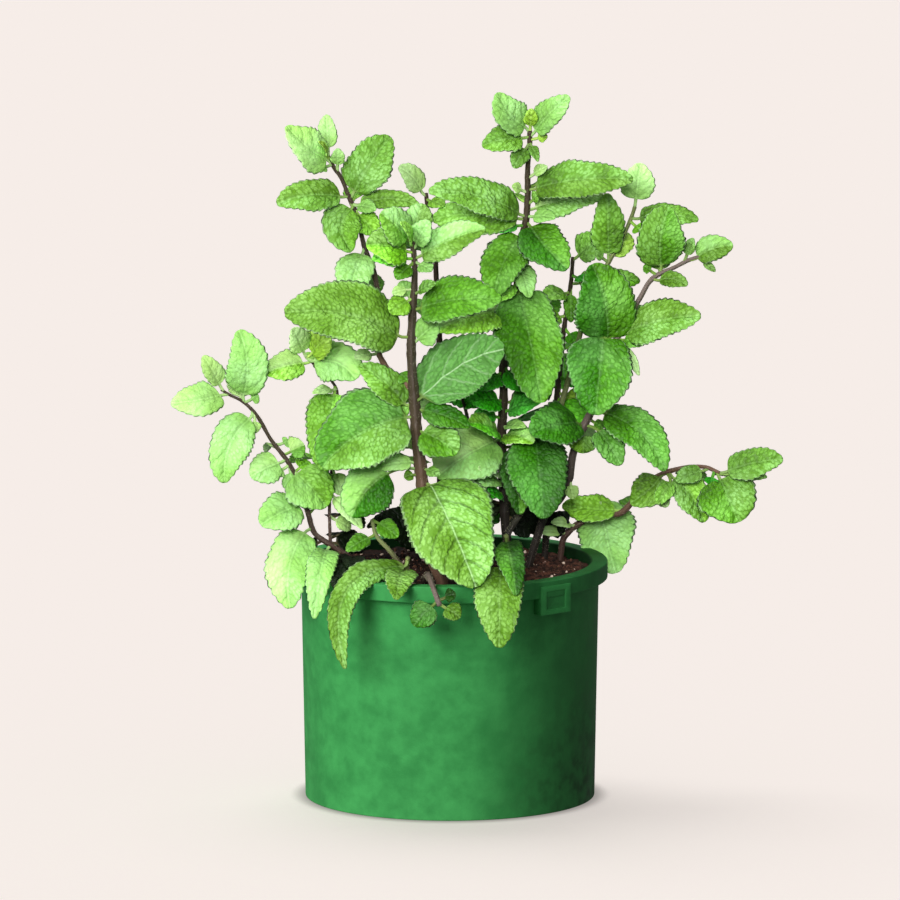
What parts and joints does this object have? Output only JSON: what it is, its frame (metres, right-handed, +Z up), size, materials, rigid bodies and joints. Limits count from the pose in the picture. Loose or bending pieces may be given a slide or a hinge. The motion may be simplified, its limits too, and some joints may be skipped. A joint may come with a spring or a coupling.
{
  "type": "potted mint plant",
  "caption": "Leafy mint herb on upright and trailing stems, growing in soil in a round tapered plastic pot with a proud rim and a flat foot with drain holes.",
  "frame": {"origin": "middle of the pot's flat foot, on the surface it stands on", "axes": "+Z up along the pot's axis, -Y towards the front seen in the picture, +X to its right"},
  "size_m": [0.3081, 0.1738, 0.3581],
  "materials": {
    "pot": "matt, slightly mottled",
    "soil": "loose crumbs",
    "leaf": "soft, puckered, faintly hairy",
    "stem": "smooth, ridged"
  },
  "bodies": {
    "root": {"pot": "pot", "soil": "soil", "stem_centre": "leaf", "stem_behind": "leaf", "stem_top": "leaf", "stem_right": "leaf", "stem_slender": "leaf", "stem_thin": "leaf", "branch_low_right": "leaf", "branch_left": "leaf", "shoot_front": "leaf", "shoot_front_left": "leaf", "shoot_front_right": "leaf", "dry_stem": "stem"}
  },
  "joints": []
}
